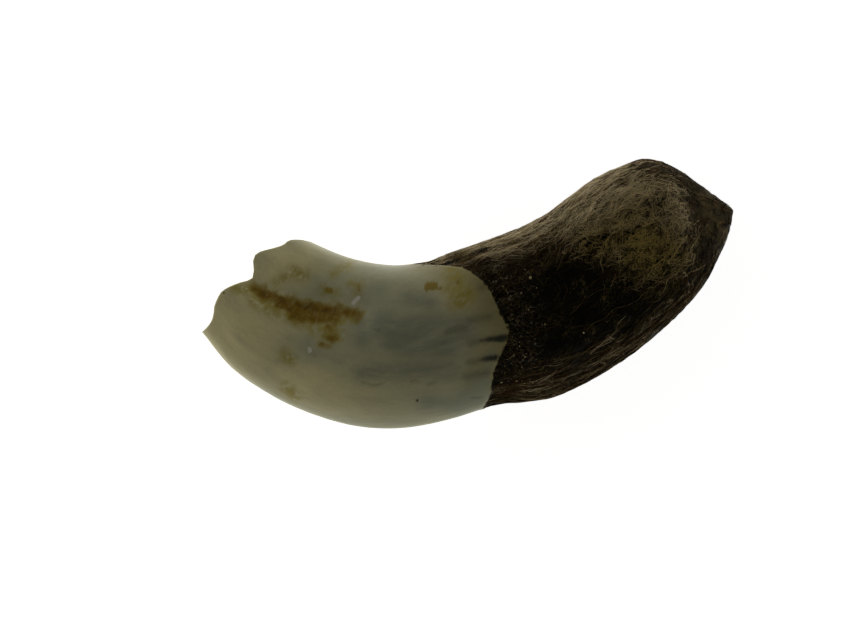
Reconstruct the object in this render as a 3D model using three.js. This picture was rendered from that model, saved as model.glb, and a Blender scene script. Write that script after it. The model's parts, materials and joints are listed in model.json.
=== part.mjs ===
// A kangaroo's incisor, crown and root grown as one piece, lying on its side with the outer (cheek) face up.
// Millimetres, +Z up. Everything is laid out in plan from the tip of the crown: x runs along the straight line from that
// tip to the root's end, y towards the hollow side of the curve. The last lines move the origin under the tooth's middle.
import * as THREE from 'three';
import { LoftGeometry } from 'three/addons/geometries/LoftGeometry.js';

// ---- driving dimensions, mm ----
const TOOTH_LENGTH = 32; // tip of the crown to the end of the root, in a straight line
const RINGS = 56; // sections from the cutting edge to the root's end
const RING_CROWDING = 0.5; // how much closer the sections are at both ends than in the middle
const RING_POINTS = 78; // points round one section, even
const FACET_ROWS = 3; // rows of faces across the worn edge

// The outline seen from above: matched points on the hollow side and on the bulging side. A section runs between each pair.
const HOLLOW_SIDE = [
	[ 7.4, 3.78 ], [ 8.2, 3.16 ], [ 9.3, 2.43 ], [ 10.6, 1.78 ], [ 12.0, 1.29 ], [ 13.6, 1.12 ], [ 15.3, 1.25 ],
	[ 17.4, 1.48 ], [ 19.6, 1.79 ], [ 21.6, 2.32 ], [ 23.3, 3.14 ], [ 25.0, 3.76 ], [ 26.6, 4.02 ], [ 27.6, 4.07 ],
	[ 28.5, 3.72 ], [ 29.45, 2.98 ], [ 30.3, 2.05 ], [ 31.2, 1.08 ], [ TOOTH_LENGTH, 0.12 ],
];
const BULGING_SIDE = [
	[ -0.09, 0.02 ], [ 1.14, -2.42 ], [ 2.95, -4.4 ], [ 5.17, -6.13 ], [ 7.68, -7.47 ], [ 10.4, -8.18 ], [ 13.2, -8.26 ],
	[ 15.7, -8.02 ], [ 18.5, -8.34 ], [ 21.0, -7.98 ], [ 23.4, -7.25 ], [ 25.7, -6.2 ], [ 27.7, -5.09 ], [ 29.0, -4.14 ],
	[ 29.9, -3.28 ], [ 30.6, -2.45 ], [ 31.2, -1.7 ], [ 31.7, -0.85 ], [ TOOTH_LENGTH, -0.16 ],
];

// The cutting edge between the first two of those points: a lobe, the notch where the groove runs out, a longer lobe.
const CUTTING_EDGE = [
	[ 7.4, 3.78 ], [ 6.8, 4.04 ], [ 6.2, 4.14 ], [ 5.75, 3.95 ], [ 5.1, 3.9 ], [ 4.5, 3.88 ], [ 4.1, 3.78 ],
	[ 3.86, 3.52 ], [ 3.78, 3.05 ], [ 3.68, 2.62 ], [ 3.45, 2.4 ], [ 2.9, 2.38 ], [ 2.1, 2.25 ], [ 1.62, 2.06 ],
	[ 1.25, 1.66 ], [ 0.98, 1.25 ], [ 0.84, 0.84 ], [ 0.58, 0.46 ], [ 0.28, 0.22 ], [ -0.09, 0.02 ],
];
const EDGE_BLEND = 4.2; // how far behind the edge its shape still shows in the sections
const FACET_SETBACK = 1.7; // the wear facet slopes in under the edge by this much
const FACET_SOFTNESS = 0.55; // the facet's inner rim repeats the edge's shape this strongly

// Heights and shapes along the tooth, each as [ x at the middle of the section, value ].
const TOP_HEIGHT = [ [ 3.6, 2.7 ], [ 4.7, 3.45 ], [ 7.9, 4.9 ], [ 12, 6.05 ], [ 16.6, 6.7 ], [ 21.3, 7.0 ], [ 25.3, 6.85 ], [ 27.6, 6.45 ], [ 28.7, 5.95 ], [ 30.0, 4.7 ], [ 31.2, 3.5 ], [ 32, 2.75 ] ];
const BOTTOM_HEIGHT = [ [ 3.6, 0.45 ], [ 4.7, 0.1 ], [ 6.0, 0 ], [ 8, 0.12 ], [ 10.5, 0.13 ], [ 13.5, 0 ], [ 17, 0 ], [ 21, 0.07 ], [ 24, 0.08 ], [ 26.4, 0 ], [ 27.6, 0.07 ], [ 29, 0.55 ], [ 30.5, 1.1 ], [ 32, 1.55 ] ];
const SIDE_HEIGHT = [ [ 3.6, 1.35 ], [ 6, 1.75 ], [ 10, 2.5 ], [ 16, 3.2 ], [ 22, 3.5 ], [ 27, 3.25 ], [ 30, 2.7 ], [ 32, 2.15 ] ];
const TOP_CREST = [ [ 3.6, 0.46 ], [ 9, 0.42 ], [ 15, 0.44 ], [ 19, 0.5 ], [ 27, 0.47 ], [ 32, 0.5 ] ]; // 0 hollow side, 1 bulging side
const BOTTOM_CREST = [ [ 3.6, 0.48 ], [ 6, 0.5 ], [ 10, 0.6 ], [ 14, 0.66 ], [ 18, 0.66 ], [ 22, 0.58 ], [ 26, 0.43 ], [ 32, 0.5 ] ];
const TOP_FULLNESS = [ [ 3.6, 2.5 ], [ 10, 2.25 ], [ 18, 2.15 ], [ 32, 2.1 ] ]; // 2 is an ellipse, more is boxier
const BOTTOM_FULLNESS = [ [ 3.6, 2.6 ], [ 10, 2.45 ], [ 18, 2.25 ], [ 32, 2.1 ] ];

// Rises (+) and hollows (-) of the upper face: from one point to another, how wide, how high.
const UPPER_FORMS = [
	{ from: [ 3.1, 2.5 ], to: [ 9.2, -1.0 ], width: 0.85, height: -0.26 }, // the groove down from the notch
	{ from: [ 5.9, 3.0 ], to: [ 9.6, 1.0 ], width: 1.1, height: 0.12 }, // the swelling beside it
	{ from: [ 13.6, -7.0 ], to: [ 15.6, -7.3 ], width: 0.9, height: -0.1 }, // the neck
	{ from: [ 16.6, 0.4 ], to: [ 24.5, 1.6 ], width: 1.0, height: 0.16 }, // a rounded rib along the root
	{ from: [ 20.4, -2.6 ], to: [ 24.6, -3.0 ], width: 2.0, height: -0.32 }, // the smooth hollow in the root
	{ from: [ 25.6, -0.6 ], to: [ 27.0, -2.4 ], width: 1.1, height: 0.13 },
	{ from: [ 28.7, 2.2 ], to: [ 28.5, -2.4 ], width: 0.55, height: 0.2 }, // the ridge where the root turns down
	{ from: [ 29.9, 1.2 ], to: [ 29.9, -0.8 ], width: 0.7, height: -0.14 },
	{ from: [ 19.0, -5.6 ], to: [ 26.0, -4.9 ], width: 0.8, height: 0.14 },
];
const LOWER_FORMS = [
	{ from: [ 6.0, 0.6 ], to: [ 10.4, -2.0 ], width: 1.5, height: 0.3 }, // the scooped inner face of the crown
	{ from: [ 18.2, -1.2 ], to: [ 24.4, -0.2 ], width: 1.4, height: 0.3 }, // a shallow gutter along the root
];

// The tissue dried onto the root lies in low folds that run along it.
const FOLD_HEIGHT = 0.07;
const FOLD_COUNT = 4.5; // folds across one face
const FOLD_START = [ 17.2, 19.6 ]; // x where they begin and where they are full
const FOLD_END = [ 28.2, 30.2 ]; // x where they begin to fade and where they are gone
const FOLD_SWAY = 0.9; // how far a fold wanders across, radians
const FOLD_SWAY_RATE = 0.55; // and how often, radians a mm

// ---- shaping ----
const smooth = ( t ) => t * t * ( 3 - 2 * t );

// A smooth curve through keyed values.
function valueAt( keys, x ) {

	const last = keys.length - 1;
	if ( x <= keys[ 0 ][ 0 ] ) return keys[ 0 ][ 1 ];
	if ( x >= keys[ last ][ 0 ] ) return keys[ last ][ 1 ];
	const i = keys.findIndex( ( key ) => key[ 0 ] > x ) - 1;
	const [ x0, v0 ] = keys[ i ];
	const [ x1, v1 ] = keys[ i + 1 ];
	const slope = ( a, b ) => ( b[ 1 ] - a[ 1 ] ) / ( b[ 0 ] - a[ 0 ] );
	const before = keys[ Math.max( i - 1, 0 ) ];
	const after = keys[ Math.min( i + 2, last ) ];
	const m0 = slope( before, keys[ i + 1 ] );
	const m1 = slope( keys[ i ], after );
	const span = x1 - x0;
	const t = ( x - x0 ) / span;
	const rise = smooth( t );
	return v0 * ( 1 - rise ) + v1 * rise + span * t * ( 1 - t ) * ( m0 * ( 1 - t ) - m1 * t );

}

// 0 before the range, 1 behind it.
const ramp = ( [ from, to ], x ) => smooth( Math.min( 1, Math.max( 0, ( x - from ) / ( to - from ) ) ) );

// How much the folds lift the face. The second wave, slower and out of step, keeps them from looking ruled.
function foldAt( x, across ) {

	const shows = ramp( FOLD_START, x ) * ( 1 - ramp( FOLD_END, x ) );
	const sway = FOLD_SWAY * Math.sin( FOLD_SWAY_RATE * x );
	const fold = Math.sin( 2 * Math.PI * FOLD_COUNT * across + sway );
	const swell = Math.sin( 2 * FOLD_SWAY_RATE * x + Math.PI * FOLD_COUNT * across );
	return FOLD_HEIGHT * shows * ( 0.6 * fold + 0.4 * swell );

}

// How much the listed forms lift the face at a point of the plan.
function liftAt( forms, point ) {

	let lift = 0;
	const nearest = new THREE.Vector3();
	for ( const form of forms ) {

		const line = new THREE.Line3( new THREE.Vector3( ...form.from, 0 ), new THREE.Vector3( ...form.to, 0 ) );
		line.closestPointToPoint( point, true, nearest );
		const away = nearest.distanceTo( point ) / form.width;
		lift += form.height * Math.exp( - away * away );

	}

	return lift;

}

const curveThrough = ( points ) => new THREE.CatmullRomCurve3( points.map( ( [ x, y ] ) => new THREE.Vector3( x, y, 0 ) ), false, 'centripetal' );
const hollowSide = curveThrough( HOLLOW_SIDE );
const bulgingSide = curveThrough( BULGING_SIDE );

// The cutting edge as a distance out from the straight line between its ends, keyed by the share of that line.
const edgeStart = new THREE.Vector3( ...CUTTING_EDGE[ 0 ], 0 );
const edgeEnd = new THREE.Vector3( ...CUTTING_EDGE[ CUTTING_EDGE.length - 1 ], 0 );
const edgeRun = edgeEnd.clone().sub( edgeStart );
const edgeLength = edgeRun.length();
const edgeOut = new THREE.Vector3( edgeRun.y, - edgeRun.x, 0 ).normalize(); // points out of the tooth
const edgeProfile = CUTTING_EDGE.map( ( [ x, y ] ) => {

	const from = new THREE.Vector3( x, y, 0 ).sub( edgeStart );
	return [ from.dot( edgeRun ) / edgeLength ** 2, from.dot( edgeOut ) ];

} );

// One point of the tooth's skin. share: 0 cutting edge to 1 root end. turn: round the section, 0 at the hollow side, over the top.
function skinPoint( share, turn ) {

	const hollow = hollowSide.getPoint( share );
	const bulging = bulgingSide.getPoint( share );
	const middle = hollow.clone().lerp( bulging, 0.5 );
	const x = middle.x;
	const across = ( 1 - Math.cos( turn ) ) / 2;
	const upper = Math.sin( turn ) >= 0;

	const point = hollow.clone().lerp( bulging, across );
	const behindEdge = middle.distanceTo( edgeStart.clone().lerp( edgeEnd, 0.5 ) );
	const shows = smooth( Math.max( 0, 1 - behindEdge / EDGE_BLEND ) );
	const outline = valueAt( edgeProfile, across );
	const setback = upper ? 0 : FACET_SETBACK * Math.sqrt( Math.abs( Math.sin( Math.PI * across ) ) );
	const strength = upper ? 1 : FACET_SOFTNESS;
	point.addScaledVector( edgeOut, shows * ( outline * strength - setback ) );

	const crest = valueAt( upper ? TOP_CREST : BOTTOM_CREST, x );
	const fullness = valueAt( upper ? TOP_FULLNESS : BOTTOM_FULLNESS, x );
	const skewed = across ** ( Math.log( 0.5 ) / Math.log( crest ) );
	const bulge = Math.max( 0, 1 - Math.abs( 2 * skewed - 1 ) ** fullness ) ** ( 1 / fullness );
	const side = valueAt( SIDE_HEIGHT, x );
	const far = valueAt( upper ? TOP_HEIGHT : BOTTOM_HEIGHT, x );
	const lift = liftAt( upper ? UPPER_FORMS : LOWER_FORMS, point ) + ( upper ? foldAt( x, across ) : 0 );
	point.z = side + ( far - side + lift ) * bulge;
	return point;

}

// ---- the sections ----
const turns = Array.from( { length: RING_POINTS }, ( _, i ) => ( i / RING_POINTS ) * 2 * Math.PI );
const sections = [];
const edgeRing = turns.map( ( turn ) => skinPoint( 0, turn ) );

// the wear facet closes on its own middle line, where the upper and the lower rim of the edge meet
for ( let row = 0; row < FACET_ROWS; row ++ ) {

	const closed = 1 - row / FACET_ROWS;
	sections.push( edgeRing.map( ( point, i ) => {

		const opposite = edgeRing[ ( RING_POINTS - i ) % RING_POINTS ];
		const middle = point.clone().lerp( opposite, 0.5 );
		return point.clone().lerp( middle, closed );

	} ) );

}

sections.push( edgeRing );
for ( let ring = 1; ring <= RINGS; ring ++ ) {

	const even = ring / RINGS;
	const share = even - RING_CROWDING * Math.sin( 2 * Math.PI * even ) / ( 2 * Math.PI );
	sections.push( turns.map( ( turn ) => skinPoint( share, turn ) ) );

}

// the root's blunt tip
const tip = sections[ sections.length - 1 ].reduce( ( sum, point ) => sum.add( point ), new THREE.Vector3() ).divideScalar( RING_POINTS );
sections.push( turns.map( () => tip.clone() ) );

const skin = new LoftGeometry( sections, { closed: true } );
skin.computeBoundingBox();
const box = skin.boundingBox;
skin.translate( - ( box.min.x + box.max.x ) / 2, - ( box.min.y + box.max.y ) / 2, - box.min.z );

const tooth = new THREE.Mesh( skin, new THREE.MeshStandardMaterial( { color: 0x8c8466, roughness: 0.45 } ) );
tooth.name = 'tooth';

const part = new THREE.Group();
part.add( tooth );
export default part;
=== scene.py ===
# %% [markdown]
# # A kangaroo's incisor
# The tooth is about three centimetres long. The crown is pale enamel with brown stains and a worn,
# notched edge. The root is dark brown and covered in fine dried fibres. It grew as one piece, so one
# mesh carries crown and root, and the fibres lie on it as meshes of their own.
# The solid from the frame gives the form. This script gives it its fine relief, its finish and its
# fibres, then lights it and sets the camera straight above it.

# %% Load the frame
import json
import math

import bmesh
import bpy
import numpy as np
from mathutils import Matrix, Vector, noise
from mathutils.bvhtree import BVHTree

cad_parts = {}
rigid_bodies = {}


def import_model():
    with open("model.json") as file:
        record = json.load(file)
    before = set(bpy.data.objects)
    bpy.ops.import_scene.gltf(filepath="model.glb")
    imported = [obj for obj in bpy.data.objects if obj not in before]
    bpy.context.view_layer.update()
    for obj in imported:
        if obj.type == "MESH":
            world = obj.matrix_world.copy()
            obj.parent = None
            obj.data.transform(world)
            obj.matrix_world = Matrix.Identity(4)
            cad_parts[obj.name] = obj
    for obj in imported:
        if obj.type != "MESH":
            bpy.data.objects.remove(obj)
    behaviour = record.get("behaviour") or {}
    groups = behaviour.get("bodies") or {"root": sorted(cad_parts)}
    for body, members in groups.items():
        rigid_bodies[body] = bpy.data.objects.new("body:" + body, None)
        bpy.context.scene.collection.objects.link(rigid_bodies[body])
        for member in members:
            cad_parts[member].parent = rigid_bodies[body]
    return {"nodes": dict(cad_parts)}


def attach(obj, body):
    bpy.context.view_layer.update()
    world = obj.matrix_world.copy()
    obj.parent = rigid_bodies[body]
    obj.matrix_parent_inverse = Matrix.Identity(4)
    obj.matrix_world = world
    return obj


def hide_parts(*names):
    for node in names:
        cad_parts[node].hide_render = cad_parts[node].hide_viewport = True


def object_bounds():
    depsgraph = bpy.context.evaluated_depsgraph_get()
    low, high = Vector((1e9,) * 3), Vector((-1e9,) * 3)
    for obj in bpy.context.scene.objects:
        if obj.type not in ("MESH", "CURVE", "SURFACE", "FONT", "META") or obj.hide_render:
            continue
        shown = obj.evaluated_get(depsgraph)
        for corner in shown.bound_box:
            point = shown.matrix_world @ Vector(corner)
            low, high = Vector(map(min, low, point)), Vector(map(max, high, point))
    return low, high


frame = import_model()
cad_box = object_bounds()
MM = 0.001
print("CAD box, mm:", [[round(c / MM, 2) for c in corner] for corner in cad_box])

# %% [markdown]
# ## Where things are on a curved tooth
# A stain or a fibre is easiest to place with two numbers: how far along the tooth, and how far across.
# The tooth is curved, so a straight ruler won't do. Two lines follow the outline seen from above, one
# on the hollow side of the curve and one on the bulging side. A straight section joins each pair of
# points. For any point of the surface, we look for the section that runs through it.
# The plan is in millimetres, measured from the tip of the crown.

# %% The two sides of the outline, and the sections between them
PLAN_ORIGIN = np.array([15.955, -2.098])  # the frame's origin, in the plan
HOLLOW_SIDE = [
    (6.67, 5.2), (7.4, 3.78), (8.2, 3.16), (9.3, 2.43), (10.6, 1.78), (12.0, 1.29), (13.6, 1.12),
    (15.3, 1.25), (17.4, 1.48), (19.6, 1.79), (21.6, 2.32), (23.3, 3.14), (25.0, 3.76), (26.6, 4.02),
    (27.6, 4.07), (28.5, 3.72), (29.45, 2.98), (30.3, 2.05), (31.2, 1.08), (32.0, 0.12),
]
BULGING_SIDE = [
    (-0.82, 1.44), (-0.09, 0.02), (1.14, -2.42), (2.95, -4.4), (5.17, -6.13), (7.68, -7.47),
    (10.4, -8.18), (13.2, -8.26), (15.7, -8.02), (18.5, -8.34), (21.0, -7.98), (23.4, -7.25),
    (25.7, -6.2), (27.7, -5.09), (29.0, -4.14), (29.9, -3.28), (30.6, -2.45), (31.2, -1.7), (31.7, -0.85),
    (32.0, -0.16),
]
SAMPLES_PER_STEP = 16


def smooth_line(points):
    """A Catmull-Rom curve through the points, sampled evenly between them."""
    p = np.array(points)
    p = np.vstack([2 * p[0] - p[1], p, 2 * p[-1] - p[-2]])
    u = np.arange(SAMPLES_PER_STEP) / SAMPLES_PER_STEP
    pieces = []
    for a, b, c, d in zip(p, p[1:], p[2:], p[3:]):
        t = u[:, None]
        pieces.append(0.5 * (2 * b + (c - a) * t + (2 * a - 5 * b + 4 * c - d) * t**2
                             + (3 * b - a - 3 * c + d) * t**3))
    return np.vstack(pieces + [p[-2:-1]])


hollow_line = smooth_line(HOLLOW_SIDE)
bulging_line = smooth_line(BULGING_SIDE)
middle_line = (hollow_line + bulging_line) / 2
width_line = np.linalg.norm(hollow_line - bulging_line, axis=1)
steps = np.linalg.norm(np.diff(middle_line, axis=0), axis=1)
length_line = np.concatenate([[0], np.cumsum(steps)])
heading_line = np.gradient(middle_line, axis=0)
heading_line /= np.linalg.norm(heading_line, axis=1)[:, None]
stations = np.arange(len(middle_line), dtype=float)
print("middle line, mm:", round(length_line[-1], 2))

# %% Find the section through a point
HALVINGS = 18


def at_station(line, station):
    """Reads one of the lines above between its samples."""
    if line.ndim == 1:
        return np.interp(station, stations, line)
    return np.column_stack([np.interp(station, stations, line[:, k]) for k in range(line.shape[1])])


def section_of(plan):
    """For points in the plan: the station, and the share across (0 hollow side, 1 bulging side)."""
    low = np.zeros(len(plan))
    high = np.full(len(plan), stations[-1])
    for _ in range(HALVINGS):
        half = (low + high) / 2
        a = at_station(hollow_line, half)
        run = at_station(bulging_line, half) - a
        off = plan - a
        ahead = run[:, 0] * off[:, 1] - run[:, 1] * off[:, 0] > 0
        low = np.where(ahead, half, low)
        high = np.where(ahead, high, half)
    station = (low + high) / 2
    a = at_station(hollow_line, station)
    run = at_station(bulging_line, station) - a
    share = ((plan - a) * run).sum(1) / np.maximum((run * run).sum(1), 1e-9)
    return station, np.clip(share, 0, 1)


def to_plan(points):
    """Metres in the frame to millimetres in the plan."""
    return points[:, :2] / MM + PLAN_ORIGIN


def straightened(points, station, share):
    """The tooth's own coordinates in mm: along it, across it, and height."""
    across = (0.5 - share) * at_station(width_line, station)
    return np.column_stack([at_station(length_line, station), across, points[:, 2] / MM])


# %% [markdown]
# ## The body of the tooth
# The frame's solid is a smooth loft with triangles about half a millimetre wide. Stains, pits and ridges
# a tenth of a millimetre wide need smaller faces. A voxel remesh would also give them, but it would
# round off the thin, chipped cutting edge. So each edge is cut in four instead, and the vertices are
# smoothed to take the flat facets away, except along the sharp rims, which stay where they are.

# %% Copy the solid and give it small faces
CUTS = 3
SHARP_ANGLE = math.radians(22)
SMOOTHING_ROUNDS = 8


def add_piece(name, data):
    """A new object in the scene from a mesh, a lamp's data or a camera's."""
    piece = bpy.data.objects.new(name, data)
    bpy.context.scene.collection.objects.link(piece)
    return piece


bm = bmesh.new()
bm.from_mesh(frame["nodes"]["tooth"].data)
bmesh.ops.remove_doubles(bm, verts=bm.verts, dist=0.002 * MM)
bmesh.ops.subdivide_edges(bm, edges=bm.edges, cuts=CUTS, use_grid_fill=True)
bmesh.ops.triangulate(bm, faces=[f for f in bm.faces if len(f.verts) > 3])
bmesh.ops.recalc_face_normals(bm, faces=bm.faces)
rims = {v for e in bm.edges if e.calc_face_angle(0) > SHARP_ANGLE for v in e.verts}
soft = [v for v in bm.verts if v not in rims]
for _ in range(SMOOTHING_ROUNDS):
    bmesh.ops.smooth_vert(bm, verts=soft, factor=0.5, use_axis_x=True, use_axis_y=True, use_axis_z=True)
body_mesh = bpy.data.meshes.new("tooth_body")
bm.to_mesh(body_mesh)
bm.free()
body = add_piece("tooth_body", body_mesh)
print("body:", len(body.data.polygons), "triangles,", len(rims), "vertices on sharp rims")

# %% Read the body's points and normals
def triples(elements, field):
    """One row of x, y and z for each element."""
    flat = np.empty(len(elements) * 3)
    elements.foreach_get(field, flat)
    return flat.reshape(-1, 3)


def ease(value, start, end):
    """0 before start, 1 after end, and a soft step between them."""
    t = np.clip((value - start) / (end - start), 0, 1)
    return t * t * (3 - 2 * t)


def outer_share(upness):
    """1 on the outer face, 0 on the inner one. upness: the normal's vertical part."""
    return ease(upness, -0.15, 0.3)


points = triples(body.data.vertices, "co")
normals = triples(body.data.vertex_normals, "vector")
plan = to_plan(points)
station, share = section_of(plan)
own = straightened(points, station, share)
facing_up = outer_share(normals[:, 2])

# %% [markdown]
# ## Crown or root?
# Enamel ends at a curved line round the neck of the tooth. Seen on the outer face the line bulges
# towards the root. The inner face can't be seen, so its line is a flatter guess. Each vertex gets its
# distance from the line, in millimetres along the tooth: below zero on the crown, above zero on the
# root. A distance stays smooth between vertices, so the shader can cut a crisp, ragged edge from it.

# %% The distance from the enamel's edge
NECK_OUTER = [
    (13.1, 1.1), (14.0, 0.85), (15.0, 0.55), (15.65, 0.3), (16.1, -0.1), (16.72, -0.8), (17.0, -1.5),
    (17.18, -2.2), (17.2, -2.9), (17.48, -3.5), (17.4, -4.3), (16.98, -4.9), (16.6, -5.4), (16.1, -6.1),
    (15.84, -6.8), (15.65, -7.3), (15.45, -7.6), (15.1, -8.0),
]
NECK_INNER = [
    (13.1, 1.1), (13.8, 0.3), (14.4, -1.2), (14.7, -2.8), (14.8, -4.5), (14.9, -6.2), (15.3, -8.0),
]


def neck_station(line, share):
    """The station at which the neck line crosses each share of the width."""
    line_station, line_share = section_of(np.array(line))
    order = np.argsort(line_share)
    return np.interp(share, line_share[order], line_station[order])


def past_neck(station, share, outer):
    """How far past the neck line each point lies along the tooth, in mm. outer: 1 on the outer face."""
    neck = neck_station(NECK_INNER, share) * (1 - outer) + neck_station(NECK_OUTER, share) * outer
    return at_station(length_line, station) - at_station(length_line, neck)


rootward = past_neck(station, share, facing_up)
on_root = ease(rootward, -0.1, 0.15)
print("share of the surface that is root:", round(float(on_root.mean()), 2))

# %% [markdown]
# ## Regions of the root
# The root isn't one brown. Along the hollow side the fibres are pale and combed. In the middle is a
# nearly black, glossy patch with few fibres. Towards the end they curl into an olive, woolly mat with
# a pale ridge, and the very end is smooth brown again. A region is a few soft-edged ovals in the plan,
# or a soft band along a margin.

# %% Soft ovals in the plan
def oval(plan, centre, half_length, half_width, angle=0.0, hardness=2.0):
    """1 in the middle of the oval, about a third on its rim, 0 outside."""
    turn = math.radians(angle)
    away = plan - np.array(centre)
    u = (away[:, 0] * math.cos(turn) + away[:, 1] * math.sin(turn)) / half_length
    v = (-away[:, 0] * math.sin(turn) + away[:, 1] * math.cos(turn)) / half_width
    return np.exp(-((u * u + v * v) ** (hardness / 2)))


def strongest(plan, ovals):
    """The strongest of several ovals, each given as its strength and then what oval takes."""
    return np.maximum.reduce([strength * oval(plan, *shape) for strength, *shape in ovals])


# %% Where each region lies: strength, centre, half length, half width, angle, hardness
BARE_OVALS = [
    (1, (21.4, -2.0), 2.6, 1.5, 5, 3), (1, (23.3, -3.9), 2.4, 1.1, 20, 3),
    (1, (20.4, -5.2), 2.6, 1.1, 5, 3), (0.5, (18.7, -2.6), 0.9, 2.2, 12, 3),
    (0.8, (24.9, -4.9), 1.5, 0.6, 22, 3), (0.7, (20.8, -6.5), 2.4, 0.5, 8, 3),
    (0.7, (22.0, -3.0), 3.8, 2.6, 10, 3),
]
OLIVE_OVALS = [
    (1, (26.4, -1.2), 2.0, 1.4, -25), (0.35, (25.8, 0.7), 2.1, 1.2, 20), (0.6, (23.7, -0.2), 1.5, 0.9),
]
RIDGE_OVALS = [(1, (28.15, 0.5), 0.95, 1.8, -4), (0.7, (27.2, 1.9), 1.3, 1.2, 20)]
MAT_OVALS = RIDGE_OVALS + [(1, (26.6, -0.3), 2.7, 2.8, 0, 3), (0.95, (23.9, 0.0), 1.9, 1.4)]
CORNER_OVALS = [(1, (28.9, 3.2), 1.1, 0.7, -25, 3), (1, (27.7, 3.45), 1.5, 0.95, -15, 3)]
RUSTY_OVALS = [(1, (19.6, -0.6), 2.4, 0.8, 6), (0.6, (23.4, -0.9), 1.6, 0.7)]

# %% Bands along the margins, then all regions together
def hollow_band(x, y):
    """The combed band along the hollow side. It widens towards the end of the root."""
    lower_edge = 0.55 + 0.38 * np.maximum(x - 24.4, 0) - 0.3 * (1 - ease(x, 18.3, 19.8))
    band = ease(y - lower_edge, -1.1, 0.8) * ease(x, 12.5, 15) * (1 - 0.6 * ease(x, 28.2, 29.2))
    return band * (1 + 0.3 * ease(x, 24.4, 25.4) * (1 - ease(x, 27.0, 28.0)))


def lower_band(x, y):
    """The combed band along the bulging side."""
    upper_edge = -6.7 + 0.19 * (x - 18.3) + 0.1 * np.maximum(x - 24.5, 0) ** 1.6
    return 1 - ease(y - upper_edge, -0.4, 0.6)


def rim_band(x, y, upness):
    """The strip near the end where the surface turns over towards the floor."""
    turning_over = ease(upness, -0.2, 0.0) * (1 - ease(upness, 0.22, 0.5))
    return turning_over * ease(x, 24.0, 26.0) * (1 - ease(y - 0.25 * (x - 32), 0.3, 0.8))


def regions(plan, upness):
    """How strongly each region shows, for points of the root. upness: the normal's vertical part."""
    x, y = plan[:, 0], plan[:, 1]
    facing_up = outer_share(upness)
    return {
        "bare": strongest(plan, BARE_OVALS) * facing_up,
        "olive": strongest(plan, OLIVE_OVALS) * facing_up,
        "ridge": strongest(plan, RIDGE_OVALS) * facing_up,
        "mat": strongest(plan, MAT_OVALS),
        "hollow": hollow_band(x, y),
        "lower": lower_band(x, y),
        "end": ease(x - 0.1 * np.abs(y - 0.5), 28.8, 30.4),
        "corner": strongest(plan, CORNER_OVALS),
        "rusty": strongest(plan, RUSTY_OVALS) * facing_up,
        "neckzone": np.exp(-((x - 18.5 + 0.12 * (y + 3.8) ** 2) / 0.9) ** 2) * facing_up,
        "rim": rim_band(x, y, upness),
    }


root = regions(plan, normals[:, 2])
print("regions:", ", ".join(root))

# %% [markdown]
# ## Fine relief
# Real relief catches the light at the outline and from the side, where a bump map can't. The enamel
# only swells and dips by a few hundredths of a millimetre, and stands a little proud of the root at
# its edge. The root is lumpy: low lengthwise folds, a felt of small bumps, and pits near the neck.
# The noise reads the straightened coordinates, so every fold follows the curve of the tooth.

# %% Noise that follows the tooth
def noise_at(places, size, octaves=3, shift=0.0):
    """Fractal noise, about -1 to 1. size is (along, across, height) of one lump, in mm."""
    scaled = places / np.array(size) + shift
    return np.array([noise.fractal(p, 1.0, 2.0, octaves) for p in scaled])


# Each line gives a height and the size of a lump, in mm.
enamel_swell = 0.028 * noise_at(own, (4.0, 2.2, 2.2), 2)
enamel_grain = 0.006 * noise_at(own, (0.5, 0.35, 0.35), 2, 7.0)
folds = 0.06 * noise_at(own, (3.2, 0.8, 0.8), 3, 3.0)
felt = 0.03 * noise_at(own, (0.55, 0.32, 0.32), 3, 11.0)
pitting = noise_at(own, (0.42, 0.36, 0.36), 2, 17.0)

# %% Push the surface in and out
near_neck = np.exp(-((rootward - 1.0) / 1.0) ** 2)
bumpiness = 1 - 0.65 * root["end"]
root_relief = folds * bumpiness + felt * bumpiness - 0.10 * np.maximum(pitting - 0.2, 0) * near_neck
root_relief += 0.10 * root["ridge"] - 0.02 * root["bare"]
root_relief += 0.06 * root["mat"] * noise_at(own, (0.8, 0.5, 0.5), 2, 23.0)
step_down = 0.08 * ease(rootward, -0.02, 0.2) * (1 - ease(rootward, 0.4, 3.0))
lip = 0.015 * np.exp(-((rootward + 0.15) / 0.15) ** 2)
relief = (enamel_swell + enamel_grain + lip) * (1 - on_root) + root_relief * on_root - step_down
print("relief, mm:", round(float(relief.min()), 3), "to", round(float(relief.max()), 3))

moved = points + normals * (relief * MM)[:, None]
floor_level = cad_box[0][2]
moved[:, 2] = np.maximum(moved[:, 2], floor_level)
body.data.vertices.foreach_set("co", moved.ravel())
body.data.update()
body.data.shade_smooth()

# %% [markdown]
# ## Stains on the enamel
# The main stain lies in the groove below the notch, and smaller ones are scattered near it and near
# the neck. Each is a chain of rounded strokes in the plan. A vertex stores how far it is from the
# nearest stroke, and the shader later frays that edge with noise. The inner face stays clean.
# Wear has also opened a line of brown dentine in the facet under the cutting edge. That line is found
# from the way the surface faces there, and from its height.

# %% Distance from a set of strokes
def stroke_gap(plan, strokes):
    """Millimetres from the rim of the nearest stroke, below zero inside it."""
    best = np.full(len(plan), 9.0)
    for start, end, radius in strokes:
        a, b = np.array(start), np.array(end)
        run = b - a
        t = np.clip(((plan - a) @ run) / max(run @ run, 1e-9), 0, 1)
        gap = np.linalg.norm(plan - (a + t[:, None] * run), axis=1) - radius
        best = np.minimum(best, gap)
    return best


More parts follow.
